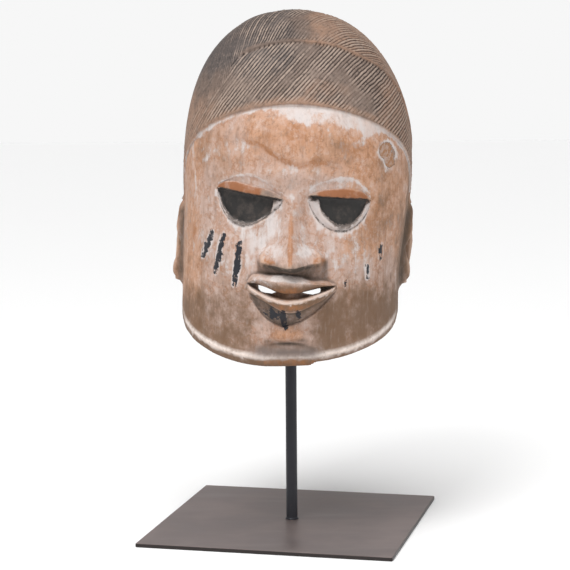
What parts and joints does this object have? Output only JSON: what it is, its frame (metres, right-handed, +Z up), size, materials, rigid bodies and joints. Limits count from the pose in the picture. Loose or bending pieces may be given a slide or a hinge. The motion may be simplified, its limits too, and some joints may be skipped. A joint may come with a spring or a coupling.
{
  "type": "carved wooden helmet mask on a display stand",
  "caption": "Hollow carved wooden helmet mask with combed hair, dark half-moon eyes and an open mouth, held up on a round rod with a square plate.",
  "frame": {"origin": "middle of the square plate's underside, on the surface that the stand stands on", "axes": "+Z up; the mask's face looks along -Y, so its right cheek as seen from the front is at +X; the plate is turned 11.8 degrees about Z against the face"},
  "size_m": [0.2362, 0.244, 0.4088],
  "materials": {
    "carved_wood": "worn light wood with kaolin residue, dry and matt, grey-brown combed hair",
    "rod_steel": "satin black",
    "plate_steel": "dark bronzed satin"
  },
  "bodies": {
    "root": {"mask": "carved_wood", "post": "rod_steel", "base_plate": "plate_steel"}
  },
  "joints": []
}
